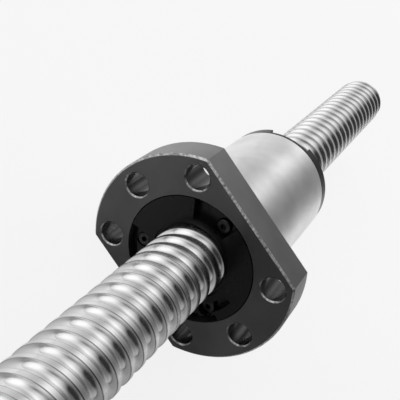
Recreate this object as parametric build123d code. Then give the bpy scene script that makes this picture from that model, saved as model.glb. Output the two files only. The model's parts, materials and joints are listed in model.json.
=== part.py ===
from build123d import *
import math
import os

# Ball screw with a flanged nut, two-start right-hand ball thread and end-cap ball return.
# Everything is modelled standing on a bench, with the screw axis along local Z and the
# nut flange's mounting face at Z = 0, and is laid down along +X when it is written out.

# Driving sizes, in millimetres.
SHAFT_D = 19.8            # over the lands
SHAFT_LENGTH = 250.0
SHAFT_NEAR_END = -93.0    # end on the flange side
SHAFT_CHAMFER = 0.8
LEAD = 10.0               # travel in one turn
STARTS = 2                # separate grooves
THREAD_PHASE = 0.54       # axial place of the first groove where it crosses the +Y side

BALL_D = 3.175
BALL_RISE = 0.3           # ball centres above the lands
GROOVE_SPARE = 0.11       # groove radius over the ball radius
DUCT_SPARE = 0.16         # return duct radius over the ball radius
RETURN_WALL = 0.55        # metal between nut groove and return hole
BALL_GAP = 0.12           # free space between neighbouring balls
ELBOW_R = 4.0             # bend of the return duct

FLANGE_D = 58.0
FLANGE_FLATS = 44.0       # across the two flats
FLANGE_T = 10.0
FLANGE_CHAMFER = 0.5
BODY_PARTING = 2.0        # where the nut body is parted, past the mounting face
BARREL_D = 36.0
BARREL_CHAMFER = 0.6
BOLT_CIRCLE_D = 47.0
BOLT_HOLE_D = 6.6
BOLT_HOLE_CHAMFER = 0.35
BOLT_ANGLES = (-45.0, 0.0, 45.0, 135.0, 180.0, 225.0)

NUT_TURNS = 5             # whole turns from one return duct to the other
PICKUP_LIFT = 1.0         # pick-up point outside the nut's threaded face
CAP_DISC_D = 35.7
CAP_DISC_T = 3.5
CAP_SPIGOT_D = 33.2
CAP_SPIGOT_T = 3.5
CAP_FIT = 0.1             # radial room round the spigot
CAP_RIM_GAP = 0.3         # radial room round the front cap's disc
CAP_BORE_SPARE = 0.5      # cap bore over the lands
REAR_CAP_TURN = 180.0     # rear cap against the front one, a whole number of grooves
POCKET_INNER_R = 12.4
POCKET_DEPTH = 2.5
PLATEAU_DEPTH = 1.2
RIM_STEP_R = 16.2
KIDNEY_DEPTH = 2.8
KIDNEY_OUTER_R = 15.3

CAP_SCREW_CIRCLE_D = 28.4
CAP_SCREW_FIRST = 14.0    # angle from the return hole
CAP_SCREWS = 3
SCREW_D = 2.0
SCREW_HEAD_D = 3.8
SCREW_HEAD_H = 2.0
SCREW_GRIP = 4.2          # thread in the nut
SCREW_HEX = 1.5
SCREW_HEX_DEPTH = 1.0
SCREW_WELL_SPARE = 0.2
SCREW_FIT = 0.02

WIPER_OUT_R = 11.3
WIPER_T = 2.0
WIPER_ROOM = 0.1
WIPER_CLEARANCE = 0.15    # wiper bore over the lands
WIPER_LIP_T = 0.6
WIPER_LIP_R = 10.9
WIPER_GROOVE = 0.25

PORT_D = 6.0              # lubrication port on the hidden flat
PORT_DEPTH = 4.6
PORT_X = -3.4
PORT_DRILL_D = 2.4
PORT_DRILL_X = -1.7
PLUG_L = 4.0
PLUG_HEX = 3.0
PLUG_HEX_DEPTH = 2.0
PLUG_SINK = 0.4
PLUG_FIT = 0.03

# Sizes that follow from them.
SHAFT_R = SHAFT_D / 2
BALL_R = BALL_D / 2
BALL_CIRCLE_R = SHAFT_R + BALL_RISE
GROOVE_R = BALL_R + GROOVE_SPARE
DUCT_R = BALL_R + DUCT_SPARE
NUT_BORE_R = BALL_CIRCLE_R + BALL_RISE
RETURN_R = BALL_CIRCLE_R + GROOVE_R + RETURN_WALL + DUCT_R
PITCH = LEAD / STARTS
TRACK_ANGLES = [360 / STARTS * track for track in range(STARTS)]
LEAD_SLOPE = LEAD / (2 * math.pi * BALL_CIRCLE_R)
PICKUP_SWING = math.degrees(math.acos(BALL_CIRCLE_R / RETURN_R))
CAP_T = CAP_DISC_T + CAP_SPIGOT_T
FACE_FRONT = -FLANGE_T + CAP_T
PICKUP_FRONT = FACE_FRONT - PICKUP_LIFT
PICKUP_REAR = PICKUP_FRONT + LEAD * (round(NUT_TURNS) - 2 * PICKUP_SWING / 360)
FACE_REAR = PICKUP_REAR - PICKUP_LIFT
BARREL_END = FACE_REAR + CAP_SPIGOT_T
RETURN_ANGLE = (PICKUP_FRONT + PITCH - THREAD_PHASE) * 360 / LEAD - PICKUP_SWING
CAP_BORE_R = SHAFT_R + CAP_BORE_SPARE
WIPER_FLOOR = CAP_T - WIPER_LIP_T - WIPER_T - 2 * WIPER_ROOM
SCREW_FLOOR = CAP_DISC_T
SCREW_ANGLES = [CAP_SCREW_FIRST + 360 / CAP_SCREWS * i for i in range(CAP_SCREWS)]

BOTTOM = (Align.CENTER, Align.CENTER, Align.MIN)
LAID_DOWN = Plane(origin=(0, 0, 0), x_dir=(0, 1, 0), z_dir=(1, 0, 0)).location


def on_circle(radius, angle, z=0.0):
    """Point at a radius and an angle round the axis."""
    turn = math.radians(angle)
    return Vector(radius * math.cos(turn), radius * math.sin(turn), z)


def disc(radius, z0, z1):
    """Solid round block from z0 to z1 on the axis."""
    return Pos(0, 0, z0) * Cylinder(radius, z1 - z0, align=BOTTOM)


def pin(radius, place_radius, angle, z0, z1):
    """Round block parallel to the axis, off to one side."""
    spot = on_circle(place_radius, angle)
    return Pos(spot.X, spot.Y, 0) * disc(radius, z0, z1)


def wedge(inner, outer, start, end, z0, z1):
    """Block between two radii and two angles."""
    inner_arc = Edge.make_circle(inner, start_angle=start, end_angle=end)
    outer_arc = Edge.make_circle(outer, start_angle=start, end_angle=end)
    sides = [Edge.make_line(on_circle(inner, a), on_circle(outer, a)) for a in (start, end)]
    face = Face(Wire([inner_arc, sides[1], outer_arc, sides[0]]))
    return Pos(0, 0, z0) * extrude(face, z1 - z0, dir=(0, 0, 1))


def thread_face(land_radius, side, first_angle):
    """Cross-section of a bar with ball grooves: side -1 sinks them in, +1 raises them."""
    half_width = math.sqrt(GROOVE_R ** 2 - BALL_RISE ** 2)
    half_angle = half_width / LEAD * 360
    steps = 12
    edges = []
    for start in range(STARTS):
        middle = first_angle + 360 / STARTS * start
        points = []
        for i in range(steps + 1):
            across = -half_width * math.cos(math.pi * i / steps)
            radius = BALL_CIRCLE_R + side * math.sqrt(GROOVE_R ** 2 - across ** 2)
            points.append(on_circle(radius, middle + across / LEAD * 360))
        land_end = middle + 360 / STARTS - half_angle
        edges.append(Edge.make_spline(points))
        edges.append(Edge.make_circle(land_radius, start_angle=middle + half_angle, end_angle=land_end))
    return Face(Wire(edges))


def thread_bar(land_radius, side, z0, z1):
    """Bar with helical ball grooves, its section turned once in every lead."""
    face = thread_face(land_radius, side, (z0 - THREAD_PHASE) * 360 / LEAD)
    length = z1 - z0
    bar = Solid.extrude_linear_with_rotation(face, (0, 0, 0), (0, 0, length), 360 * length / LEAD)
    return Pos(0, 0, z0) * bar


def screw_shaft():
    """Threaded bar in equal lengths joined end to end, cut square and chamfered at both ends."""
    end = SHAFT_NEAR_END + SHAFT_LENGTH
    count = max(1, round(SHAFT_LENGTH / LEAD))
    step = SHAFT_LENGTH / count
    first = thread_bar(SHAFT_R, -1, SHAFT_NEAR_END, SHAFT_NEAR_END + step)
    lengths = [Pos(0, 0, step * i) * Rot(0, 0, 360 * step / LEAD * i) * first for i in range(count)]
    bar = lengths[0].fuse(*lengths[1:])
    blank = chamfer(disc(SHAFT_R + 1, SHAFT_NEAR_END, end).edges().filter_by(GeomType.CIRCLE), SHAFT_CHAMFER + 1)
    return bar & blank


def duct_edges(offset):
    """Ball path at a cap: straight off the thread, round the elbow, into the return hole."""
    run = math.sqrt(RETURN_R ** 2 - BALL_CIRCLE_R ** 2)
    outward = on_circle(1, offset - PICKUP_SWING)
    along = Vector(-outward.Y, outward.X, 0)
    base = outward * BALL_CIRCLE_R + Vector(0, 0, PICKUP_LIFT)
    corner = base + along * run + Vector(0, 0, run * LEAD_SLOPE)
    turn = math.pi / 2 + math.atan(LEAD_SLOPE)
    back = ELBOW_R * math.tan(turn / 2)
    heading = (corner - base).normalized()
    bend_in = corner - heading * back
    bend_out = corner - Vector(0, 0, back)
    centre = bend_out - along * ELBOW_R
    bend_top = centre + ((bend_in + bend_out) / 2 - centre).normalized() * ELBOW_R
    line = Edge.make_line(base, bend_in)
    elbow = Edge.make_three_point_arc(bend_in, bend_top, bend_out)
    return line, elbow, bend_out


def duct_cutter(offset):
    """Tool for one return duct, drawn in the cap's own frame."""
    line, elbow, bend_out = duct_edges(offset)
    mouth = Pos(*(line @ 0)) * Sphere(DUCT_R)
    straight = extrude(Plane(line @ 0, z_dir=line % 0) * Circle(DUCT_R), line.length)
    hinge = Axis(elbow.arc_center, on_circle(-1, offset - PICKUP_SWING))
    swing = 90 + math.degrees(math.atan(LEAD_SLOPE))
    bend = revolve(Plane(elbow @ 0, z_dir=elbow % 0) * Circle(DUCT_R), hinge, swing)
    hole = pin(DUCT_R, RETURN_R, offset, bend_out.Z - 1, bend_out.Z)
    return [mouth, straight, bend, hole]


def to_rear(shape):
    """Cap frame to the rear end of the nut."""
    return Pos(0, 0, FACE_REAR) * Rot(0, 0, RETURN_ANGLE + REAR_CAP_TURN) * shape


def to_front(shape):
    """The same moulding turned end for end on the flange side."""
    return Pos(0, 0, FACE_FRONT) * Rot(0, 0, RETURN_ANGLE) * Rot(180, 0, 0) * shape


def end_cap():
    """Black end cap: disc and spigot, ball ducts, pockets, screw wells and wiper seat."""
    cap = disc(CAP_DISC_D / 2, CAP_SPIGOT_T, CAP_T) + disc(CAP_SPIGOT_D / 2, 0, CAP_DISC_T)
    rim = CAP_DISC_D / 2 + 1
    above = CAP_T + 1
    cuts = [disc(CAP_BORE_R, -1, above)]
    cuts.append(disc(WIPER_OUT_R + WIPER_ROOM, WIPER_FLOOR, CAP_T - WIPER_LIP_T))
    cuts.append(disc(WIPER_LIP_R, CAP_T - WIPER_LIP_T - WIPER_ROOM, above))
    cuts += cap_pockets(rim, above)
    race_depth = PICKUP_LIFT + DUCT_R
    race_turn = race_depth * 360 / LEAD
    for offset in TRACK_ANGLES:
        lift = offset - PICKUP_SWING
        cuts.append(wedge(CAP_BORE_R - 1, BALL_CIRCLE_R + DUCT_R, lift - race_turn, lift, -1, race_depth))
        cuts += duct_cutter(offset)
    for angle in SCREW_ANGLES:
        well = SCREW_HEAD_D / 2 + SCREW_WELL_SPARE
        cuts.append(pin(SCREW_D / 2 + SCREW_WELL_SPARE, CAP_SCREW_CIRCLE_D / 2, angle, -1, above))
        cuts.append(pin(well, CAP_SCREW_CIRCLE_D / 2, angle, SCREW_FLOOR, above))
    for cut in cuts:
        cap -= cut
    return cap


def cap_pockets(rim, above):
    """Moulded pockets in the cap's outer face, by angle from the return hole."""
    floor = CAP_T - POCKET_DEPTH
    plateau = CAP_T - PLATEAU_DEPTH
    open_pocket = wedge(POCKET_INNER_R, rim, -115.5, -72.5, floor, above)
    plateau_pocket = wedge(POCKET_INNER_R, rim, 0.5, 42.5, plateau, above)
    plateau_rim = wedge(RIM_STEP_R, rim, 0.5, 42.5, floor, above)
    kidney = wedge(POCKET_INNER_R + 0.3, KIDNEY_OUTER_R, 133.0, 166.0, CAP_T - KIDNEY_DEPTH, above)
    step_pocket = wedge(POCKET_INNER_R, rim, 92.5, 124.0, plateau, above)
    step_rim = wedge(RIM_STEP_R, rim, 92.5, 142.0, floor, above)
    return [open_pocket, plateau_pocket, plateau_rim, kidney, step_pocket, step_rim]


def cap_screw(angle):
    """Socket head screw, head on the floor of its well."""
    place = CAP_SCREW_CIRCLE_D / 2
    top = SCREW_FLOOR + SCREW_HEAD_H
    head = pin(SCREW_HEAD_D / 2, place, angle, SCREW_FLOOR, top)
    head = chamfer(head.edges().filter_by(GeomType.CIRCLE).sort_by(Axis.Z)[-1:], 0.2)
    shank = pin(SCREW_D / 2 - SCREW_FIT, place, angle, -SCREW_GRIP, SCREW_FLOOR + 0.5)
    spot = on_circle(place, angle, top - SCREW_HEX_DEPTH)
    hexagon = RegularPolygon(SCREW_HEX / 2, 6, major_radius=False)
    socket = Pos(*spot) * Rot(0, 0, angle) * extrude(hexagon, SCREW_HEX_DEPTH + 1)
    return head + shank - socket


def wiper_ring():
    """Round wiper in the cap's seat, with a shallow groove in its bore."""
    inner = SHAFT_R + WIPER_CLEARANCE
    low = WIPER_FLOOR + WIPER_ROOM
    high = low + WIPER_T
    ring = disc(WIPER_OUT_R, low, high) - disc(inner, low - 1, high + 1)
    middle = (low + high) / 2
    return ring - disc(inner + WIPER_GROOVE, middle - WIPER_T / 6, middle + WIPER_T / 6)


def flange():
    """Round flange with two flats, drilled for the mounting screws, and the root of the barrel behind it."""
    outline = Circle(FLANGE_D / 2) & Rectangle(FLANGE_D + 2, FLANGE_FLATS)
    plate = Pos(0, 0, -FLANGE_T) * extrude(outline, FLANGE_T)
    ends = plate.faces().filter_by(Axis.Z)
    plate = chamfer(ends.edges(), FLANGE_CHAMFER)
    for angle in BOLT_ANGLES:
        plate -= bolt_hole(angle)
    return plate + disc(BARREL_D / 2, -FLANGE_T / 2, BODY_PARTING)


def bolt_hole(angle):
    """Through hole with both edges broken."""
    radius = BOLT_HOLE_D / 2
    hole = pin(radius, BOLT_CIRCLE_D / 2, angle, -FLANGE_T - 1, 1)
    flare = BOLT_HOLE_CHAMFER
    spot = on_circle(BOLT_CIRCLE_D / 2, angle)
    for z, way in ((-FLANGE_T, 1), (0, -1)):
        wide, narrow = (radius + flare, radius) if way > 0 else (radius, radius + flare)
        low = z if way > 0 else z - flare
        hole += Pos(spot.X, spot.Y, low) * Cone(wide, narrow, flare, align=BOTTOM)
    return hole


def lube_port():
    """Threaded port from the hidden flat and the drilling on to the ball thread."""
    flat = FLANGE_FLATS / 2
    face = Plane(origin=(0, -flat, PORT_X), x_dir=(1, 0, 0), z_dir=(0, 1, 0))
    port = extrude(face * Circle(PORT_D / 2), PORT_DEPTH)
    drill_face = Plane(origin=(0, -flat + PORT_DEPTH / 2, PORT_DRILL_X), x_dir=(1, 0, 0), z_dir=(0, 1, 0))
    drill = extrude(drill_face * Circle(PORT_DRILL_D / 2), flat - PORT_DEPTH / 2 - NUT_BORE_R + 0.5)
    return [port, drill]


def barrel():
    """Ground barrel from the parting on, chamfered at its free end."""
    blank = disc(BARREL_D / 2, BODY_PARTING, BARREL_END)
    return chamfer(blank.edges().filter_by(GeomType.CIRCLE).sort_by(Axis.Z)[-1:], BARREL_CHAMFER)


def hollowed(blank):
    """Part of the nut's steel body, with its ball thread and every hole and seat cut."""
    seat = CAP_SPIGOT_D / 2 + CAP_FIT
    disc_seat = CAP_DISC_D / 2 + CAP_RIM_GAP
    cuts = [disc(disc_seat, -FLANGE_T - 1, -FLANGE_T + CAP_DISC_T)]
    cuts.append(disc(seat, -FLANGE_T - 1, FACE_FRONT))
    cuts.append(disc(seat, FACE_REAR, BARREL_END + 1))
    cuts.append(thread_bar(NUT_BORE_R, 1, FACE_FRONT - 1, FACE_REAR + 1))
    for offset in TRACK_ANGLES:
        cuts.append(pin(DUCT_R, RETURN_R, RETURN_ANGLE + offset, FACE_FRONT - 1, FACE_REAR + 1))
        cuts += [to_front(tool) for tool in duct_cutter(offset)]
        cuts += [to_rear(tool) for tool in duct_cutter(offset - REAR_CAP_TURN)]
    for angle in SCREW_ANGLES:
        tapped = pin(SCREW_D / 2, CAP_SCREW_CIRCLE_D / 2, angle, -SCREW_GRIP - 1, 1)
        cuts += [to_front(tapped), to_rear(tapped)]
    for cut in cuts + lube_port():
        blank -= cut
    return blank


def lube_plug():
    """Set screw that closes the lubrication port."""
    start = Plane(origin=(0, -FLANGE_FLATS / 2 + PLUG_SINK, PORT_X), x_dir=(1, 0, 0), z_dir=(0, 1, 0))
    body = extrude(start * Circle(PORT_D / 2 - PLUG_FIT), PLUG_L)
    socket = extrude(start * RegularPolygon(PLUG_HEX / 2, 6, major_radius=False), PLUG_HEX_DEPTH)
    return body - socket


def circuit(track):
    """Closed ball path of one groove, as (stretch, edge, walked backward) in running order."""
    turn = 360 / STARTS * track
    helix = Edge.make_helix(LEAD, PICKUP_REAR - PICKUP_FRONT, BALL_CIRCLE_R)
    loaded = Pos(0, 0, PICKUP_FRONT) * Rot(0, 0, RETURN_ANGLE + PICKUP_SWING + turn) * helix
    rear = [to_rear(edge) for edge in duct_edges(turn - REAR_CAP_TURN)[:2]]
    front = [to_front(edge) for edge in duct_edges(-turn)[:2]]
    inside = duct_edges(0)[2].Z
    high = on_circle(RETURN_R, RETURN_ANGLE + turn, FACE_REAR + inside)
    low = on_circle(RETURN_R, RETURN_ANGLE + turn, FACE_FRONT - inside)
    chain = [("loaded", loaded, False)] + [("rear_turn", edge, False) for edge in rear]
    chain.append(("return", Edge.make_line(high, low), False))
    return chain + [("front_turn", edge, True) for edge in reversed(front)]


def ball_rows(chain):
    """Ball centres spaced evenly round a closed chain, listed by stretch."""
    total = sum(edge.length for _, edge, _ in chain)
    count = int(total / (BALL_D + BALL_GAP))
    step = total / count
    rows = {name: [] for name, _, _ in chain}
    walked = 0.0
    number = 0
    for name, edge, backward in chain:
        while number < count and number * step < walked + edge.length:
            share = (number * step - walked) / edge.length
            rows[name].append(edge.position_at(1 - share if backward else share))
            number += 1
        walked += edge.length
    return rows


def balls(centres):
    """Group of separate steel balls."""
    return Compound([Pos(*centre) * Solid.make_sphere(BALL_R, angle1=-90, angle2=90) for centre in centres])


def write(shape, name):
    """Lay a piece down along +X and write it to its own file."""
    placed = LAID_DOWN * shape
    placed.label = name
    export_step(placed, f"parts/{name}.step")


def main():
    """Every piece to its own file. The nut's steel body is two files, parted close to the flange."""
    os.makedirs("parts", exist_ok=True)
    write(screw_shaft(), "screw_shaft")
    write(hollowed(flange()), "nut_flange")
    write(hollowed(barrel()), "nut_barrel")
    write(lube_plug(), "lube_port_plug")
    for end, place in (("front", to_front), ("rear", to_rear)):
        write(place(end_cap()), f"{end}_end_cap")
        write(place(wiper_ring()), f"{end}_wiper_ring")
        for number, angle in enumerate(SCREW_ANGLES, 1):
            write(place(cap_screw(angle)), f"{end}_cap_screw_{number}")
    for track in range(STARTS):
        for stretch, centres in ball_rows(circuit(track)).items():
            write(balls(centres), f"{stretch}_balls_track_{track + 1}")


if __name__ == "__main__":
    main()
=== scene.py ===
import json
import math

import bmesh
import bpy
import numpy as np
from mathutils import Matrix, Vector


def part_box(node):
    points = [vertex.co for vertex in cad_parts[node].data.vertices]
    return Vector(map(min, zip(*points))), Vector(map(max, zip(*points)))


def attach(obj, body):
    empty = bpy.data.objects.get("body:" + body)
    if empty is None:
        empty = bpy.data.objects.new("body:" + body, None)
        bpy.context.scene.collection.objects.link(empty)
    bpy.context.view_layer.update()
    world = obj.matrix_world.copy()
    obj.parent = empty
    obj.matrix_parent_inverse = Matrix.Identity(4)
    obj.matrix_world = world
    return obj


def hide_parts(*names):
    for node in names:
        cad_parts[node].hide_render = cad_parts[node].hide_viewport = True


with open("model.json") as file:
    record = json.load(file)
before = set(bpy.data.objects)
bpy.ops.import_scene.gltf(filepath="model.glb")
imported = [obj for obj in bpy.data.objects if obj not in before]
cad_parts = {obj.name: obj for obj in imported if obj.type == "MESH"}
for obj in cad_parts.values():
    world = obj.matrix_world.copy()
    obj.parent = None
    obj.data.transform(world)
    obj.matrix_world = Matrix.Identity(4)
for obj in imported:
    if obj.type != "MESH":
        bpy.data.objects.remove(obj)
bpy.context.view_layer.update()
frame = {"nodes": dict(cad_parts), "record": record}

bl_info = {
    "name": "Ball Screw with Flanged Nut",
    "version": (1, 0, 0),
    "blender": (4, 5, 0),
    "location": "3D View > Sidebar > Ball Screw",
    "description": "Dresses a packed ball screw: shaft, flanged nut, end caps, balls and a photo table",
    "category": "Object",
}

MM = 0.001
NODES = frame["nodes"]
STEEL_NODES = ("nut_flange", "nut_barrel")
CAP_NODES = ("front_end_cap", "rear_end_cap")
WIPER_NODES = ("front_wiper_ring", "rear_wiper_ring")
SHAFT_LOW, SHAFT_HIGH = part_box("screw_shaft")
MOUNTS = {mount["name"]: mount for mount in frame["record"]["mounts"]}
COUPLING = frame["record"]["behaviour"]["couplings"][0]
LEAD = 2 * math.pi / COUPLING["ratio"]

# On the nut: where the barrel starts past the mounting face, the radius from which its surface is the rim,
# and the radius inside which broken edges stay dark.
BARREL_START = 0.05 * MM
RIM_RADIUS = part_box("nut_flange")[1].y - 0.2 * MM
EDGES_FROM = 17.5 * MM

PIECE_TRIANGLES = 190000      # most that one piece may have
MOST_BALLS = 400              # most balls that are looked for in one node


class ScrewSizes(bpy.types.PropertyGroup):
    """Sizes of the ball thread, and how finely the shaft is drawn."""

    land_radius: bpy.props.FloatProperty(
        name="Land radius", description="Radius over the ground lands",
        default=SHAFT_HIGH.z, unit="LENGTH", precision=5)
    ball_radius: bpy.props.FloatProperty(
        name="Ball radius", description="Radius of one ball",
        default=1.5875 * MM, unit="LENGTH", precision=6)
    ball_rise: bpy.props.FloatProperty(
        name="Ball rise", description="Height of the ball centres over the lands",
        default=0.3 * MM, unit="LENGTH", precision=6)
    groove_spare: bpy.props.FloatProperty(
        name="Groove spare", description="Groove radius over the ball radius",
        default=0.11 * MM, unit="LENGTH", precision=6)
    edge_radius: bpy.props.FloatProperty(
        name="Edge radius", description="Rounding where a land meets a groove",
        default=0.30 * MM, unit="LENGTH", precision=6)
    end_chamfer: bpy.props.FloatProperty(
        name="End chamfer", description="Chamfer at both ends of the shaft",
        default=0.8 * MM, unit="LENGTH", precision=5)
    thread_phase: bpy.props.FloatProperty(
        name="Thread phase", description="Place of the first groove on the +Y side",
        default=0.54 * MM, unit="LENGTH", precision=6)
    starts: bpy.props.IntProperty(
        name="Starts", description="Number of separate grooves", default=2, min=1)
    columns: bpy.props.IntProperty(
        name="Columns", description="Steps round the shaft", default=72, min=24)


class FinishColours(bpy.types.PropertyGroup):
    """Base colours of the metals and plastics, as linear values."""

    shaft: bpy.props.FloatVectorProperty(
        name="Shaft steel", description="Polished shaft",
        default=(0.86, 0.86, 0.865), subtype="COLOR")
    barrel: bpy.props.FloatVectorProperty(
        name="Barrel steel", description="Ground barrel",
        default=(0.84, 0.84, 0.845), subtype="COLOR")
    flange: bpy.props.FloatVectorProperty(
        name="Flange steel", description="Dark satin flange",
        default=(0.105, 0.105, 0.107), subtype="COLOR")
    flat: bpy.props.FloatVectorProperty(
        name="Milled flats", description="Both flats of the flange",
        default=(0.23, 0.23, 0.233), subtype="COLOR")
    edge: bpy.props.FloatVectorProperty(
        name="Broken edges", description="Bare steel of chamfers",
        default=(0.42, 0.42, 0.425), subtype="COLOR")
    hole: bpy.props.FloatVectorProperty(
        name="Drilled holes", description="Walls of the mounting holes",
        default=(0.10, 0.10, 0.102), subtype="COLOR")
    cap: bpy.props.FloatVectorProperty(
        name="Cap plastic", description="Moulded black plastic",
        default=(0.005, 0.005, 0.0055), subtype="COLOR")
    fastener: bpy.props.FloatVectorProperty(
        name="Fastener steel", description="Black screws",
        default=(0.035, 0.035, 0.037), subtype="COLOR")


class TableSettings(bpy.types.PropertyGroup):
    """Lens, light levels and floor of the photo table."""

    focal_length: bpy.props.FloatProperty(
        name="Focal length", description="Lens in millimetres on a 36 mm sensor", default=63.83)
    pale: bpy.props.FloatProperty(
        name="Pale grey", description="Linear brightness of floor and backdrop",
        default=0.93, min=0.0, max=1.0)
    tent_level: bpy.props.FloatProperty(
        name="Tent level", description="Brightness of the tent as the object sees it",
        default=1.2, min=0.0)
    metal_sky: bpy.props.FloatProperty(
        name="Backdrop in metal", description="Share of the plain backdrop that polished metal shows",
        default=0.03, min=0.0, max=1.0)
    metal_floor: bpy.props.FloatProperty(
        name="Floor in metal", description="Share of the plain floor that polished metal shows",
        default=0.07, min=0.0, max=1.0)
    floor_height: bpy.props.FloatProperty(
        name="Floor height", description="Where the flange's lower flat stands",
        default=-22.0 * MM, unit="LENGTH", precision=5)


def finish_mesh(name, mesh, body, replaced, material, sharp_degrees):
    """Puts a mesh into the scene as a piece on its body, in place of CAD nodes, smooth but for sharp edges."""
    mesh.shade_smooth()
    mesh.set_sharp_from_angle(angle=math.radians(sharp_degrees))
    mesh.materials.clear()
    mesh.materials.append(material)
    piece = bpy.data.objects.new(name, mesh)
    bpy.context.scene.collection.objects.link(piece)
    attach(piece, body)
    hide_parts(*replaced)
    return piece


def grid_mesh(name, points, attributes):
    """Mesh over a grid of points (rows, columns, 3), with one value per point for each attribute. Rows then
    columns turn right-handed outwards. Seams and poles are closed by merging points that fall together."""
    rows, columns = points.shape[:2]
    index = np.arange(rows * columns).reshape(rows, columns)
    corners = (index[:-1, :-1], index[:-1, 1:], index[1:, 1:], index[1:, :-1])
    faces = np.stack([corner.ravel() for corner in corners], axis=1)
    mesh = bpy.data.meshes.new(name)
    mesh.from_pydata(points.reshape(-1, 3), [], faces)
    for key, values in attributes.items():
        layer = mesh.attributes.new(key, "FLOAT", "POINT")
        layer.data.foreach_set("value", np.ascontiguousarray(values, np.float32).ravel())
    together = 2e-7
    shell = bmesh.new()
    shell.from_mesh(mesh)
    bmesh.ops.remove_doubles(shell, verts=shell.verts, dist=together)
    bmesh.ops.dissolve_degenerate(shell, edges=shell.edges, dist=together)
    shell.to_mesh(mesh)
    shell.free()
    return mesh


# Where the thread's profile has its points, as shares of each stretch from a groove's middle outwards.
HOLLOW_STEPS = (0.26, 0.50, 0.72, 0.88, 0.97)
CORNER_STEPS = (0.0, 0.12, 0.32, 0.55, 0.78)
LAND_STEPS = (0.0, 0.45)
# Rings that close each end of the shaft, as shares of its radius.
END_RINGS = (0.0, 0.55)


def groove_limits(sizes):
    """Offsets from a groove's middle where its round hollow ends and where the land starts. The corner's
    circle touches the hollow's circle and the land, so its middle is both radii away from the hollow's."""
    groove, edge = sizes.ball_radius + sizes.groove_spare, sizes.edge_radius
    land_start = math.sqrt((groove + edge) ** 2 - (sizes.ball_rise + edge) ** 2)
    return land_start * groove / (groove + edge), land_start


def groove_profile(sizes):
    """Offsets across one pitch, in metres, thick where the profile bends."""
    hollow_end, land_start = groove_limits(sizes)
    pitch = LEAD / sizes.starts
    hollow = hollow_end * np.array(HOLLOW_STEPS)
    corner = hollow_end + (land_start - hollow_end) * np.array(CORNER_STEPS)
    land = land_start + (pitch / 2 - land_start) * np.array(LAND_STEPS)
    half = np.concatenate([hollow, corner, land])
    return np.concatenate([[-pitch / 2], -half[::-1], [0.0], half])


def thread_radius(offset, sizes):
    """Radius of the bar and distance from the nearest groove's middle, for axial offsets from a groove. The
    radius is that of a flat land, a rounded corner or a round hollow."""
    groove, edge = sizes.ball_radius + sizes.groove_spare, sizes.edge_radius
    hollow_end, land_start = groove_limits(sizes)
    pitch = LEAD / sizes.starts
    away = np.abs((offset + pitch / 2) % pitch - pitch / 2)
    hollow = sizes.land_radius + sizes.ball_rise - np.sqrt(np.maximum(groove ** 2 - away ** 2, 0))
    corner = sizes.land_radius - edge + np.sqrt(np.maximum(edge ** 2 - (away - land_start) ** 2, 0))
    radius = np.where(away > hollow_end, corner, hollow)
    return np.where(away >= land_start, sizes.land_radius, radius), away


def thread_surface(sizes, low, high):
    """Whole shaft as one grid. A column is one angle a. Its rows follow the groove, x = phase +
    lead a / 2 pi + offset, are held between the end planes, take the radius of the thread there or of the
    end's chamfer, and close to the axis at both ends."""
    pitch = LEAD / sizes.starts
    first = math.floor((low - sizes.thread_phase - LEAD) / pitch) - 1
    last = math.ceil((high - sizes.thread_phase) / pitch) + 1
    along = (np.arange(first, last + 1)[:, None] * pitch + groove_profile(sizes)[None, :]).ravel()
    angle = np.linspace(0, 2 * np.pi, sizes.columns + 1)
    middle = sizes.thread_phase + LEAD * angle / (2 * np.pi)
    x = np.clip(along[:, None] + middle[None, :], low, high)
    radius, across = thread_radius(x - middle[None, :], sizes)
    from_end = np.minimum(x - low, high - x)
    radius = np.minimum(radius, sizes.land_radius - sizes.end_chamfer + np.maximum(from_end, 0))
    rings = np.array(END_RINGS)[:, None]
    x = np.concatenate([np.full((2, len(angle)), low), x, np.full((2, len(angle)), high)])
    radius = np.concatenate([rings * radius[:1], radius, rings[::-1] * radius[-1:]])
    across = np.concatenate([across[:2] * 0, across, across[:2] * 0])
    points = np.stack([x, radius * np.cos(angle), radius * np.sin(angle)], axis=2)
    return points[:, ::-1], {"across": across[:, ::-1] / MM}


def merged_copy(node, join):
    """Copy of a CAD node with its loose triangles merged and its fixed normals dropped. Its flat faces are
    joined too where a bevel follows."""
    mesh = NODES[node].data.copy()
    mesh.name = node + "_dressed"
    shell = bmesh.new()
    shell.from_mesh(mesh)
    bmesh.ops.remove_doubles(shell, verts=shell.verts, dist=1e-6)
    bmesh.ops.dissolve_degenerate(shell, edges=shell.edges, dist=1e-7)
    if join:
        bmesh.ops.dissolve_limit(shell, angle_limit=math.radians(0.5), use_dissolve_boundaries=False,
                                 verts=shell.verts, edges=shell.edges)
    shell.to_mesh(mesh)
    shell.free()
    for layer in [layer for layer in mesh.attributes if layer.name == "custom_normal"]:
        mesh.attributes.remove(layer)
    return mesh


def dressed(node, body, material, sharp_degrees, join=False):
    """A CAD node's merged copy, as a piece that replaces the node."""
    mesh = merged_copy(node, join)
    return finish_mesh(mesh.name, mesh, body, [node], material, sharp_degrees)


def rounded_edges(piece, width):
    """Rounds the sharp edges of a piece, as a mould leaves them."""
    bevel = piece.modifiers.new("rounded_edges", "BEVEL")
    bevel.limit_method, bevel.angle_limit = "ANGLE", math.radians(40)
    bevel.offset_type, bevel.width, bevel.segments = "OFFSET", width, 2
    bevel.use_clamp_overlap = True
    bevel.harden_normals = False


def thinned(piece):
    """Drops triangles of a piece that has too many, first where its surface is flattest."""
    count = len(piece.data.polygons)
    if count > PIECE_TRIANGLES:
        piece.modifiers.new("thinned", "DECIMATE").ratio = PIECE_TRIANGLES / count


def blank_material(name):
    """New node material with its Principled shader."""
    material = bpy.data.materials.new(name)
    material.use_nodes = True
    tree = material.node_tree
    return material, tree, tree.nodes["Principled BSDF"]


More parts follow.
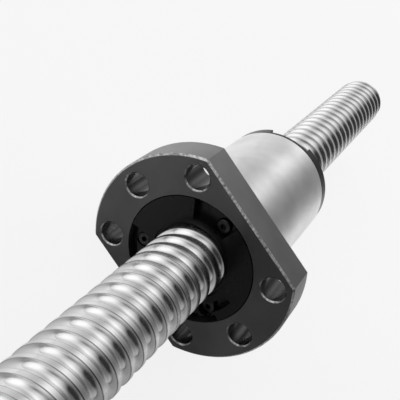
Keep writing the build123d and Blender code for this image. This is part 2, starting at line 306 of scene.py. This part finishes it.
def add(tree, kind, settings=None, **inputs):
    """Adds a node, sets its properties, and fills its inputs with plain values or links them to sockets. An
    input goes by its name, with _ for a blank, or by _ and its number."""
    node = tree.nodes.new(kind)
    for key, value in (settings or {}).items():
        setattr(node, key, value)
    for key, value in inputs.items():
        socket = node.inputs[int(key[1:]) if key[0] == "_" else key.replace("_", " ")]
        if isinstance(value, bpy.types.NodeSocket):
            tree.links.new(value, socket)
        else:
            socket.default_value = value
    return node


def maths(tree, operation, *values):
    """Result of a maths node on plain values or sockets."""
    inputs = {f"_{place}": value for place, value in enumerate(values)}
    return add(tree, "ShaderNodeMath", {"operation": operation}, **inputs).outputs[0]


def spread(tree, value, start, end, low, high, kind="LINEAR"):
    """Carries a value from the range start to end over to low to high, and holds it there."""
    node = add(tree, "ShaderNodeMapRange", {"interpolation_type": kind},
               Value=value, _1=start, _2=end, _3=low, _4=high)
    return node.outputs["Result"]


def noise(tree, vector, scale, detail, roughness):
    """Cloudy pattern in three dimensions."""
    node = add(tree, "ShaderNodeTexNoise", {"noise_dimensions": "3D"},
               Vector=vector, Scale=scale, Detail=detail, Roughness=roughness)
    return node.outputs["Fac"]


def mark(tree, name):
    """Values of one of the mesh's own attributes."""
    return add(tree, "ShaderNodeAttribute", {"attribute_name": name}).outputs["Fac"]


def group(name, inputs, outputs):
    """Empty shader node group with named sockets."""
    tree = bpy.data.node_groups.new(name, "ShaderNodeTree")
    for label, kind, value in inputs:
        socket = tree.interface.new_socket(name=label, in_out="INPUT", socket_type=kind)
        if value is not None:
            socket.default_value = value
    for label, kind in outputs:
        tree.interface.new_socket(name=label, in_out="OUTPUT", socket_type=kind)
    return tree, tree.nodes.new("NodeGroupInput").outputs, tree.nodes.new("NodeGroupOutput")


def give(tree, outside, **values):
    """Links values to the outputs of a group, by their names."""
    for label, value in values.items():
        tree.links.new(value, outside.inputs[label])
    return tree


BROAD_SHARE = 0.21            # fineness of the broad grinding lines, against the fine ones
NOISE_REACH = (0.3, 0.7)      # between these two, noise has nearly all its values


def ground_lay_group():
    """Fine grinding lines: noise at two sizes on coordinates that the material stretches along the lines, as
    a height and as a tone around 0.5."""
    tree, inside, outside = group(
        "ground_lay",
        [("Vector", "NodeSocketVector", None), ("Fineness", "NodeSocketFloat", 6.0),
         ("Depth", "NodeSocketFloat", 1.0)],
        [("Height", "NodeSocketFloat"), ("Tone", "NodeSocketFloat")])
    fine = noise(tree, inside["Vector"], inside["Fineness"], detail=4.0, roughness=0.6)
    broad = maths(tree, "MULTIPLY", inside["Fineness"], BROAD_SHARE)
    coarse = noise(tree, inside["Vector"], broad, detail=2.0, roughness=0.5)
    tone = maths(tree, "MULTIPLY", maths(tree, "ADD", fine, coarse), 0.5)
    return give(tree, outside, Height=maths(tree, "MULTIPLY", tone, inside["Depth"]), Tone=tone)


def mottle_group():
    """Slow cloudy change of tone, as handling and oil leave on steel and plastic."""
    tree, inside, outside = group(
        "mottle",
        [("Vector", "NodeSocketVector", None), ("Size", "NodeSocketFloat", 90.0),
         ("Low", "NodeSocketFloat", 0.9), ("High", "NodeSocketFloat", 1.1)],
        [("Tone", "NodeSocketFloat")])
    cloud = noise(tree, inside["Vector"], inside["Size"], detail=3.0, roughness=0.55)
    return give(tree, outside, Tone=spread(tree, cloud, *NOISE_REACH, inside["Low"], inside["High"]))


def place_group():
    """Where a point lies on the nut: masks for the rim and the barrel, and a coordinate for turning lines. It
    changes fast with axial place plus radius and slowly with the other two axes, so lines of equal value go
    round the axis on every face."""
    tree, inside, outside = group(
        "nut_places",
        [("Vector", "NodeSocketVector", None), ("Across", "NodeSocketFloat", 5000.0),
         ("Along", "NodeSocketFloat", 90.0)],
        [("Barrel", "NodeSocketFloat"), ("Rim", "NodeSocketFloat"), ("Turning", "NodeSocketVector")])
    axis = add(tree, "ShaderNodeSeparateXYZ", Vector=inside["Vector"]).outputs
    flat = add(tree, "ShaderNodeCombineXYZ", Y=axis["Y"], Z=axis["Z"]).outputs[0]
    radius = add(tree, "ShaderNodeVectorMath", {"operation": "LENGTH"}, _0=flat).outputs["Value"]
    quick = maths(tree, "MULTIPLY", maths(tree, "ADD", axis["X"], radius), inside["Across"])
    slow = add(tree, "ShaderNodeVectorMath", {"operation": "SCALE"}, _0=flat, Scale=inside["Along"])
    lift = add(tree, "ShaderNodeCombineXYZ", X=quick)
    turning = add(tree, "ShaderNodeVectorMath", {"operation": "ADD"},
                  _0=slow.outputs["Vector"], _1=lift.outputs[0])
    return give(tree, outside, Barrel=maths(tree, "GREATER_THAN", axis["X"], BARREL_START),
                Rim=maths(tree, "GREATER_THAN", radius, RIM_RADIUS), Turning=turning.outputs["Vector"])


GROUP_MAKERS = {"ground_lay": ground_lay_group, "mottle": mottle_group, "nut_places": place_group}
GROUPS = {}


def use_group(tree, name, **inputs):
    """Places a shared group in a material with its own values. The group is built the first time."""
    if name not in GROUPS:
        GROUPS[name] = GROUP_MAKERS[name]()
    return add(tree, "ShaderNodeGroup", {"node_tree": GROUPS[name]}, **inputs).outputs


def object_point(tree, scale=(1.0, 1.0, 1.0)):
    """Object coordinates, stretched for a pattern."""
    source = add(tree, "ShaderNodeTexCoord").outputs["Object"]
    return add(tree, "ShaderNodeMapping", Vector=source, Scale=scale).outputs["Vector"]


def mottle(tree, size, low, high):
    """Cloudy tone over the object, between low and high."""
    return use_group(tree, "mottle", Vector=object_point(tree), Size=size, Low=low, High=high)["Tone"]


def tinted(tree, colour, tone):
    """A colour made lighter or darker by a tone around 1."""
    mix = add(tree, "ShaderNodeVectorMath", {"operation": "SCALE"}, _0=colour[:3], Scale=tone)
    return mix.outputs["Vector"]


def bumped(tree, shader, height, strength, distance):
    """Lets a height stand out of the surface, in metres."""
    bump = add(tree, "ShaderNodeBump", Strength=strength, Distance=distance, Height=height)
    tree.links.new(bump.outputs["Normal"], shader.inputs["Normal"])


def turned_sheen(tree, shader, amount):
    """Spreads reflections across the turning lines. Those run round the X axis, along X axis x place."""
    point = add(tree, "ShaderNodeTexCoord").outputs["Object"]
    run = add(tree, "ShaderNodeVectorMath", {"operation": "CROSS_PRODUCT"}, _0=(1.0, 0.0, 0.0), _1=point)
    frames = {"vector_type": "VECTOR", "convert_from": "OBJECT", "convert_to": "WORLD"}
    placed = add(tree, "ShaderNodeVectorTransform", frames, Vector=run.outputs["Vector"])
    tree.links.new(placed.outputs["Vector"], shader.inputs["Tangent"])
    shader.inputs["Anisotropic"].default_value = amount
    shader.inputs["Anisotropic Rotation"].default_value = QUARTER_TURN


# Roughness of each finish, and what the grinding lines add to it.
ROUGHNESS = {
    "groove": 0.13, "land": 0.17, "flange": 0.40, "barrel": 0.22, "flat": 0.30, "hole": 0.16, "edge": 0.26,
    "cap_smooth": 0.16, "cap_rough": 0.30, "fastener": 0.28, "ball": 0.08,
}
LAY_ROUGHNESS = 0.06
# How strongly the turning lines spread reflections, and how far the spread is turned from the lines.
SHAFT_SHEEN, NUT_SHEEN, QUARTER_TURN = 0.95, 0.7, 0.25
# How much of the barrel's bright steel colour is painted on the flange's rim, as a painted highlight.
RIM_HIGHLIGHT_SHARE = 0.22

# Thread finish, in millimetres from the middle of a groove: where the polish changes into the ground land,
# where the line of painted shade lies on the corner, how wide its core and its fading sides are, and the tone
# it darkens the colour to.
POLISH_END, LAND_START = 1.60, 1.82
PAINTED_SHADE_PLACE, PAINTED_SHADE_CORE, PAINTED_SHADE_SIDE, PAINTED_SHADE_TONE = 1.76, 0.02, 0.17, 0.42
# Stretch of the shaft's grinding lines: fine along the axis, long round it.
LAY_STRETCH = (6000.0, 60.0, 60.0)


def shaft_steel(colour):
    """Polished thread: bright grooves, lands with fine grinding lines round the bar, and a thin line of
    painted shade along each land's corner, where the base colour is darkened."""
    material, tree, shader = blank_material("polished_shaft_steel")
    across = mark(tree, "across")
    land = spread(tree, across, POLISH_END, LAND_START, 0.0, 1.0, "SMOOTHSTEP")
    # Painted shade: the base colour is darkened in a thin line along each land's corner.
    gap = maths(tree, "ABSOLUTE", maths(tree, "SUBTRACT", across, PAINTED_SHADE_PLACE))
    painted_shade = spread(tree, gap, PAINTED_SHADE_CORE, PAINTED_SHADE_SIDE, PAINTED_SHADE_TONE, 1.0, "SMOOTHSTEP")
    tone = maths(tree, "MULTIPLY", mottle(tree, size=140.0, low=0.94, high=1.04), painted_shade)
    stretched = object_point(tree, LAY_STRETCH)
    lay = use_group(tree, "ground_lay", Vector=stretched, Fineness=1.0, Depth=1.0)
    rough = spread(tree, land, 0.0, 1.0, ROUGHNESS["groove"], ROUGHNESS["land"])
    grain = maths(tree, "MULTIPLY_ADD", lay["Tone"], LAY_ROUGHNESS, rough)
    tree.links.new(tinted(tree, colour, tone), shader.inputs["Base Color"])
    tree.links.new(grain, shader.inputs["Roughness"])
    shader.inputs["Metallic"].default_value = 1.0
    turned_sheen(tree, shader, SHAFT_SHEEN)
    bumped(tree, shader, lay["Height"], strength=0.10, distance=0.02 * MM)
    return material


# The normals of broken edges lean between these degrees from the axis. A normal's part along an axis is under
# LOW_LEAN where it stands square to it, and over FULL_LEAN where it follows it. The middles of the faces on a
# hole's wall lie within its radius plus WALL_SLACK.
EDGE_LEAN = (20, 70)
LOW_LEAN, FULL_LEAN, WALL_SLACK = 0.1, 0.999, 0.02 * MM


def face_marks(mesh):
    """Writes three face attributes on the nut: edge is 1 on broken edges, whose normals lean from the axis as
    EDGE_LEAN says, bore is 1 on the walls of the mounting holes, and milled is 1 on the two flats."""
    count = len(mesh.polygons)
    middle, normal = np.empty(count * 3, np.float32), np.empty(count * 3, np.float32)
    mesh.polygons.foreach_get("center", middle)
    mesh.polygons.foreach_get("normal", normal)
    middle, normal = middle.reshape(-1, 3), normal.reshape(-1, 3)
    corner, side = MOUNTS["flange_bolts_corner"]["dims"], MOUNTS["flange_bolts_side"]["dims"]
    spacings = (corner["spacing_x_mm"], corner["spacing_y_mm"], side["spacing_x_mm"])
    half_y, half_z, arm = (spacing * MM / 2 for spacing in spacings)
    places = [(y, z) for y in (-half_y, half_y) for z in (-half_z, half_z)] + [(-arm, 0.0), (arm, 0.0)]
    gap = np.linalg.norm(middle[:, None, 1:] - np.array(places)[None], axis=2).min(axis=1)
    lean = np.abs(normal[:, 0])
    flattest, steepest = (math.cos(math.radians(angle)) for angle in EDGE_LEAN)
    outer = np.linalg.norm(middle[:, 1:], axis=1) > EDGES_FROM
    marks = {
        "edge": (lean > steepest) & (lean < flattest) & outer,
        "bore": (gap < corner["hole_r_mm"] * MM + WALL_SLACK) & (lean < LOW_LEAN),
        "milled": (np.abs(normal[:, 2]) > FULL_LEAN) & (middle[:, 0] < 0),
    }
    for key, mask in marks.items():
        layer = mesh.attributes.new(key, "FLOAT", "FACE")
        layer.data.foreach_set("value", mask.astype(np.float32))


def nut_steel(colours):
    """Nut steel by place: dark satin flange, a rim lightened with part of the barrel's colour as a painted
    highlight, ground barrel, milled flats, smooth drilled holes, and bare broken edges with fine cutter marks.
    Turning lines run round the axis on every face."""
    material, tree, shader = blank_material("nut_steel_by_place")
    places = use_group(tree, "nut_places", Vector=object_point(tree))
    lay = use_group(tree, "ground_lay", Vector=places["Turning"], Fineness=1.0, Depth=1.0)
    cloud = mottle(tree, size=70.0, low=0.86, high=1.14)
    nicks = mottle(tree, size=1600.0, low=0.3, high=1.6)
    # Painted highlight: the rim takes part of the barrel's bright colour.
    rim_highlight = maths(tree, "MULTIPLY", places["Rim"], RIM_HIGHLIGHT_SHARE)
    layers = (
        (maths(tree, "MAXIMUM", places["Barrel"], rim_highlight), colours.barrel, cloud, ROUGHNESS["barrel"]),
        (mark(tree, "milled"), colours.flat, cloud, ROUGHNESS["flat"]),
        (mark(tree, "bore"), colours.hole, cloud, ROUGHNESS["hole"]),
        (mark(tree, "edge"), colours.edge, nicks, ROUGHNESS["edge"]),
    )
    colour, rough = tinted(tree, colours.flange, cloud), ROUGHNESS["flange"]
    for share, tint, tone, smooth in layers:
        mix = add(tree, "ShaderNodeMix", {"data_type": "RGBA"},
                  _0=share, _6=colour, _7=tinted(tree, tint, tone))
        colour = mix.outputs[2]
        rough = spread(tree, share, 0.0, 1.0, rough, smooth)
    grain = maths(tree, "MULTIPLY_ADD", lay["Tone"], LAY_ROUGHNESS, rough)
    tree.links.new(colour, shader.inputs["Base Color"])
    tree.links.new(grain, shader.inputs["Roughness"])
    shader.inputs["Metallic"].default_value = 1.0
    turned_sheen(tree, shader, NUT_SHEEN)
    bumped(tree, shader, lay["Height"], strength=0.05, distance=0.02 * MM)
    return material


def cap_plastic(colour, name):
    """Black moulded plastic with a faint moulding grain and a soft gloss."""
    material, tree, shader = blank_material(name)
    grain = noise(tree, object_point(tree), scale=2600.0, detail=2.0, roughness=0.5)
    tone = mottle(tree, size=160.0, low=0.75, high=1.35)
    rough = spread(tree, grain, 0.0, 1.0, ROUGHNESS["cap_smooth"], ROUGHNESS["cap_rough"])
    tree.links.new(tinted(tree, colour, tone), shader.inputs["Base Color"])
    tree.links.new(rough, shader.inputs["Roughness"])
    shader.inputs["Specular IOR Level"].default_value = 0.20
    bumped(tree, shader, grain, strength=0.12, distance=0.03 * MM)
    return material


def plain_metal(name, colour, roughness, **cloud):
    """Metal of one roughness, with a cloudy tone of the given size and limits."""
    material, tree, shader = blank_material(name)
    tree.links.new(tinted(tree, colour, mottle(tree, **cloud)), shader.inputs["Base Color"])
    shader.inputs["Metallic"].default_value = 1.0
    shader.inputs["Roughness"].default_value = roughness
    return material


def fastener_steel(colour):
    """Black finished steel of the small screws, rubbed lighter in places."""
    return plain_metal("black_fastener_steel", colour, ROUGHNESS["fastener"], size=900.0, low=0.7, high=1.6)


def ball_steel(colour):
    """Polished bearing balls."""
    return plain_metal("polished_ball_steel", colour, ROUGHNESS["ball"], size=300.0, low=0.97, high=1.02)


class BALLSCREW_OT_shaft(bpy.types.Operator):
    """Threaded shaft with both grooves, rounded land edges and chamfered ends"""

    bl_idname = "ballscrew.shaft"
    bl_label = "Threaded shaft"

    def execute(self, context):
        sizes = context.scene.ball_screw_sizes
        points, attributes = thread_surface(sizes, SHAFT_LOW.x, SHAFT_HIGH.x)
        mesh = grid_mesh("threaded_shaft", points, attributes)
        material = shaft_steel(context.scene.ball_screw_colours.shaft)
        finish_mesh("threaded_shaft", mesh, "screw", ["screw_shaft"], material,
                    sharp_degrees=50)
        return {"FINISHED"}


class BALLSCREW_OT_nut(bpy.types.Operator):
    """Flanged nut body with its thread, bolt holes and cap seats"""

    bl_idname = "ballscrew.nut"
    bl_label = "Nut body"

    def execute(self, context):
        material = nut_steel(context.scene.ball_screw_colours)
        for node in STEEL_NODES:
            piece = dressed(node, "nut", material, sharp_degrees=20)
            face_marks(piece.data)
            thinned(piece)
        return {"FINISHED"}


class BALLSCREW_OT_caps(bpy.types.Operator):
    """Moulded black end caps with their pockets, wells and ducts"""

    bl_idname = "ballscrew.caps"
    bl_label = "End caps"

    def execute(self, context):
        material = cap_plastic(context.scene.ball_screw_colours.cap, "moulded_black_plastic")
        for node in CAP_NODES:
            piece = dressed(node, "nut", material, sharp_degrees=25, join=True)
            rounded_edges(piece, width=0.18 * MM)
        return {"FINISHED"}


class BALLSCREW_OT_wipers(bpy.types.Operator):
    """Round wiper rings that seal the shaft in the caps"""

    bl_idname = "ballscrew.wipers"
    bl_label = "Wiper rings"

    def execute(self, context):
        material = cap_plastic(context.scene.ball_screw_colours.cap, "wiper_plastic")
        for node in WIPER_NODES:
            dressed(node, "wiper_rings", material, sharp_degrees=30)
        return {"FINISHED"}


class BALLSCREW_OT_fasteners(bpy.types.Operator):
    """Cap screws and the set screw of the lubrication port"""

    bl_idname = "ballscrew.fasteners"
    bl_label = "Screws and plug"

    def execute(self, context):
        material = fastener_steel(context.scene.ball_screw_colours.fastener)
        for node in [name for name in sorted(NODES) if "_cap_screw_" in name] + ["lube_port_plug"]:
            dressed(node, "nut", material, sharp_degrees=30)
        return {"FINISHED"}


def ball_centres(node, radius):
    """Centres of a node's balls. Its points come ball by ball, so the split into equal runs whose boxes
    are all one ball wide gives them."""
    mesh = NODES[node].data
    points = np.empty(len(mesh.vertices) * 3, np.float32)
    mesh.vertices.foreach_get("co", points)
    points = points.reshape(-1, 3).astype(float)
    for number in range(1, MOST_BALLS):
        if len(points) % number:
            continue
        runs = points.reshape(number, -1, 3)
        low, high = runs.min(axis=1), runs.max(axis=1)
        if np.abs(high - low - 2 * radius).max() < 0.1 * radius:
            return (low + high) / 2
    raise RuntimeError(node + " is not made of equal balls")


def ball_set(centres, radius):
    """Many balls as one mesh: rings of latitude at every centre, (cos t cos a, cos t sin a, sin t) for tilt t
    and turn a, closed at both poles."""
    rings, columns = 7, 10
    tilt = np.linspace(-np.pi / 2, np.pi / 2, rings)
    turn = np.linspace(0, 2 * np.pi, columns, endpoint=False)
    ring = np.stack([np.cos(tilt)[:, None] * np.cos(turn), np.cos(tilt)[:, None] * np.sin(turn),
                     np.repeat(np.sin(tilt)[:, None], columns, axis=1)], axis=2)
    one = np.concatenate([[[0, 0, -1.0]], ring[1:-1].reshape(-1, 3), [[0, 0, 1.0]]]) * radius
    index = 1 + np.arange((rings - 2) * columns).reshape(rings - 2, columns)
    ahead = np.roll(index, -1, axis=1)
    quads = np.stack([index[:-1], ahead[:-1], ahead[1:], index[1:]], axis=2).reshape(-1, 4)
    low = np.stack([np.zeros(columns, int), ahead[0], index[0]], axis=1)
    high = np.stack([np.full(columns, len(one) - 1), index[-1], ahead[-1]], axis=1)
    shift = (np.arange(len(centres)) * len(one))[:, None, None]
    points = (centres[:, None, :] + one[None]).reshape(-1, 3)
    faces = (quads[None] + shift).reshape(-1, 4).tolist()
    faces += (low[None] + shift).reshape(-1, 3).tolist() + (high[None] + shift).reshape(-1, 3).tolist()
    mesh = bpy.data.meshes.new("balls")
    mesh.from_pydata(points, [], faces)
    return mesh


class BALLSCREW_OT_balls(bpy.types.Operator):
    """Both circuits of bearing balls, in the thread, the caps and the return holes"""

    bl_idname = "ballscrew.balls"
    bl_label = "Ball circuits"

    def execute(self, context):
        radius = context.scene.ball_screw_sizes.ball_radius
        material = ball_steel(context.scene.ball_screw_colours.shaft)
        for node in [name for name in sorted(NODES) if "_balls_" in name]:
            mesh = ball_set(ball_centres(node, radius), radius)
            finish_mesh(node + "_dressed", mesh, "nut", [node], material, sharp_degrees=180)
        return {"FINISHED"}


def plain_share(tree, camera, metal):
    """How much of the plain backdrop a ray sees: the camera's and clear rays much, and those that metal
    throws back little."""
    ray = add(tree, "ShaderNodeLightPath").outputs
    clear = maths(tree, "MAXIMUM", ray["Is Camera Ray"], ray["Is Transmission Ray"])
    gloss = maths(tree, "MULTIPLY", ray["Is Glossy Ray"], metal)
    return add(tree, "ShaderNodeMath", {"operation": "MULTIPLY_ADD", "use_clamp": True},
               _0=clear, _1=camera, _2=gloss).outputs[0]


# Base grey of the table, by place in metres along the direction below: painted light and shade, dark on the
# near side and pale towards the far side.
PAINTED_LIGHT_RUN = (1.0, 0.8, 0.0)
TABLE_PAINTED_LIGHT = ((-0.45, 0.12), (-0.12, 0.32), (-0.03, 0.80), (0.05, 0.97))
# How much of the table the camera sees as plain grey. The rest shows the shadow.
TABLE_PLAIN = 0.92
TABLE_REACH = 3.0             # metres from the middle of the table to each side


def floor_material(pale, metal):
    """Pale table that the camera sees nearly plain, with part of the real light on it, so the shadow stays.
    Its base colour carries painted light and shade, grey on the near side and pale towards the screw's far
    end, which polished metal mirrors."""
    material, tree, shader = blank_material("pale_table")
    low, high = TABLE_PAINTED_LIGHT[0][0], TABLE_PAINTED_LIGHT[-1][0]
    point = object_point(tree)
    along = add(tree, "ShaderNodeVectorMath", {"operation": "DOT_PRODUCT"}, _0=point, _1=PAINTED_LIGHT_RUN)
    share = spread(tree, along.outputs["Value"], low, high, 0.0, 1.0)
    # Painted light and shade: the base grey runs from dark on the near side to pale on the far side.
    painted_light_ramp = add(tree, "ShaderNodeValToRGB", _0=share)
    stops = painted_light_ramp.color_ramp.elements
    for place, grey in TABLE_PAINTED_LIGHT[1:-1]:
        stops.new((place - low) / (high - low))
    for stop, (place, grey) in zip(stops, TABLE_PAINTED_LIGHT):
        stop.color = (grey, grey, grey, 1.0)
    tree.links.new(painted_light_ramp.outputs["Color"], shader.inputs["Base Color"])
    shader.inputs["Roughness"].default_value = 0.9
    shader.inputs["Specular IOR Level"].default_value = 0.0
    plain = add(tree, "ShaderNodeEmission", Color=(1, 1, 1, 1), Strength=pale)
    mix = add(tree, "ShaderNodeMixShader", _0=plain_share(tree, TABLE_PLAIN, metal),
              _1=shader.outputs["BSDF"], _2=plain.outputs[0])
    tree.links.new(mix.outputs[0], tree.nodes["Material Output"].inputs["Surface"])
    return material


def table_top(settings):
    """Square table under the object, as part of the stage."""
    corners = [(x, y, settings.floor_height) for x, y in
               ((-TABLE_REACH, -TABLE_REACH), (TABLE_REACH, -TABLE_REACH),
                (TABLE_REACH, TABLE_REACH), (-TABLE_REACH, TABLE_REACH))]
    mesh = bpy.data.meshes.new("table_top")
    mesh.from_pydata(corners, [], [(0, 1, 2, 3)])
    mesh.materials.append(floor_material(settings.pale, settings.metal_floor))
    table = bpy.data.objects.new("table_top", mesh)
    bpy.context.scene.collection.objects.link(table)


# Soft lights and dark flags of the tent, whose strength is negative: azimuth from +X towards +Y and elevation
# in degrees, tightness, strength. Left and right are as seen along the screw from its near end.
TENT = {
    "far_high_light": (25, 62, 10, 1.60),
    "left_fill": (105, 12, 15, 0.35),
    "broad_right_flag": (-112, 25, 3, -1.60),
    "far_middle_light": (18, 46, 35, 0.40),
    "near_flag": (166, 35, 15, -1.60),
    "near_light": (155, 41, 7, 1.60),
    "far_right_flag": (-28, 22, 10, -0.40),
    "left_floor_flag": (105, -30, 4, -0.75),
    "far_low_spot": (8, 21, 60, 0.55),
    "far_high_flag": (25, 55, 7, -1.50),
    "right_fill": (-100, 42, 20, 0.35),
    "near_left_flag": (136, 50, 14, -1.05),
    "right_low_light": (-102, 12, 8, 0.85),
}
TENT_WALL = 0.79


def tent_light(tree, direction):
    """Brightness of the tent by direction: wall plus, for every light or flag, strength times
    e ** (tightness * (cosine of the angle from its middle - 1)), held between 0 and 1."""
    total = TENT_WALL
    for azimuth, elevation, tightness, strength in TENT.values():
        turn, rise = math.radians(azimuth), math.radians(elevation)
        middle = (math.cos(rise) * math.cos(turn), math.cos(rise) * math.sin(turn), math.sin(rise))
        near = add(tree, "ShaderNodeVectorMath", {"operation": "DOT_PRODUCT"}, _0=direction, _1=middle)
        power = maths(tree, "MULTIPLY_ADD", near.outputs["Value"], tightness, -tightness)
        total = maths(tree, "MULTIPLY_ADD", maths(tree, "EXPONENT", power), strength, total)
    return add(tree, "ShaderNodeClamp", Value=total).outputs[0]


def studio_world(settings):
    """Light tent: pale all round for the camera, with its soft lights and dark flags for the object."""
    world = bpy.data.worlds.new("light_tent")
    world.use_nodes = True
    tree = world.node_tree
    tree.nodes.clear()
    glow = tent_light(tree, add(tree, "ShaderNodeTexCoord").outputs["Generated"])
    level = maths(tree, "MULTIPLY", glow, settings.tent_level)
    tent = add(tree, "ShaderNodeBackground", Color=(1, 1, 1, 1), Strength=level)
    plain = add(tree, "ShaderNodeBackground", Color=(1, 1, 1, 1), Strength=settings.pale)
    mix = add(tree, "ShaderNodeMixShader", _0=plain_share(tree, 1.0, settings.metal_sky),
              _1=tent.outputs[0], _2=plain.outputs[0])
    add(tree, "ShaderNodeOutputWorld", Surface=mix.outputs[0])
    return world


# Both lamps: name, place, size in metres, power in watts. They look at LAMP_AIM.
LAMPS = (("key_softbox", (0.10, 0.55, 0.55), 0.5, 1.6), ("back_softbox", (0.75, -0.10, 0.50), 0.6, 2.2))
LAMP_AIM = (0.02, 0.0, 0.0)
# Camera at the photograph's angle: its place, and where its right side, top and back point.
CAMERA_PLACE = (-0.15297, 0.02163, 0.11328)
CAMERA_RIGHT = (0.4473, -0.5595, 0.6978)
CAMERA_TOP = (0.3589, 0.8269, 0.4329)
CAMERA_BACK = (-0.8192, 0.0568, 0.5707)


def stands_at(place, right, top, back):
    """Matrix of an object that stands at a place with its own axes along three directions."""
    rows = [[right[i], top[i], back[i], place[i]] for i in range(3)]
    return Matrix(rows + [[0, 0, 0, 1]])


def soft_lamp(name, place, size, power):
    """Square area lamp that looks at LAMP_AIM and doesn't show in reflections."""
    light = bpy.data.lights.new(name, "AREA")
    light.size, light.energy = size, power
    lamp = bpy.data.objects.new(name, light)
    bpy.context.scene.collection.objects.link(lamp)
    away = np.array(place) - np.array(LAMP_AIM)
    away /= np.linalg.norm(away)
    side = np.cross([0, 0, 1.0], away)
    side /= np.linalg.norm(side)
    lamp.visible_glossy = False
    lamp.matrix_world = stands_at(place, side, np.cross(away, side), away)


def photo_camera(focal_length):
    """Camera of the photograph's view, set as the scene's camera."""
    camera = bpy.data.objects.new("camera", bpy.data.cameras.new("camera"))
    bpy.context.scene.collection.objects.link(camera)
    camera.data.lens = focal_length
    camera.data.sensor_width = 36.0
    camera.data.clip_start = 0.005
    camera.matrix_world = stands_at(CAMERA_PLACE, CAMERA_RIGHT, CAMERA_TOP, CAMERA_BACK)
    bpy.context.scene.camera = camera


class BALLSCREW_OT_table(bpy.types.Operator):
    """Pale table, light tent, soft lamps and the camera"""

    bl_idname = "ballscrew.table"
    bl_label = "Photo table"

    def execute(self, context):
        scene, settings = context.scene, context.scene.ball_screw_table
        scene.view_settings.view_transform = "Standard"
        table_top(settings)
        scene.world = studio_world(settings)
        for name, place, size, power in LAMPS:
            soft_lamp(name, place, size, power)
        photo_camera(settings.focal_length)
        return {"FINISHED"}


class BALLSCREW_PT_panel(bpy.types.Panel):
    """Buttons for every piece, and the sizes and colours behind them"""

    bl_label = "Ball Screw"
    bl_idname = "BALLSCREW_PT_panel"
    bl_space_type = "VIEW_3D"
    bl_region_type = "UI"
    bl_category = "Ball Screw"

    def draw(self, context):
        for operator in OPERATORS:
            self.layout.operator(operator.bl_idname)
        for key in SETTINGS:
            settings = getattr(context.scene, key)
            box = self.layout.box()
            for label in settings.__annotations__:
                box.prop(settings, label)


OPERATORS = (BALLSCREW_OT_shaft, BALLSCREW_OT_nut, BALLSCREW_OT_caps, BALLSCREW_OT_wipers,
             BALLSCREW_OT_fasteners, BALLSCREW_OT_balls, BALLSCREW_OT_table)
SETTINGS = {
    "ball_screw_sizes": ScrewSizes,
    "ball_screw_colours": FinishColours,
    "ball_screw_table": TableSettings,
}


def register():
    """Registers every class and gives the scene its settings."""
    for kind in (*SETTINGS.values(), *OPERATORS, BALLSCREW_PT_panel):
        bpy.utils.register_class(kind)
    for key, kind in SETTINGS.items():
        setattr(bpy.types.Scene, key, bpy.props.PointerProperty(type=kind))


def unregister():
    """Takes the settings and the classes away again."""
    for key in SETTINGS:
        delattr(bpy.types.Scene, key)
    for kind in reversed((*SETTINGS.values(), *OPERATORS, BALLSCREW_PT_panel)):
        bpy.utils.unregister_class(kind)


def main():
    """Builds every piece and the table."""
    register()
    for operator in OPERATORS:
        family, action = operator.bl_idname.split(".")
        if getattr(getattr(bpy.ops, family), action)() != {"FINISHED"}:
            raise RuntimeError(operator.bl_label + " was not made")


if __name__ == "__main__":
    main()
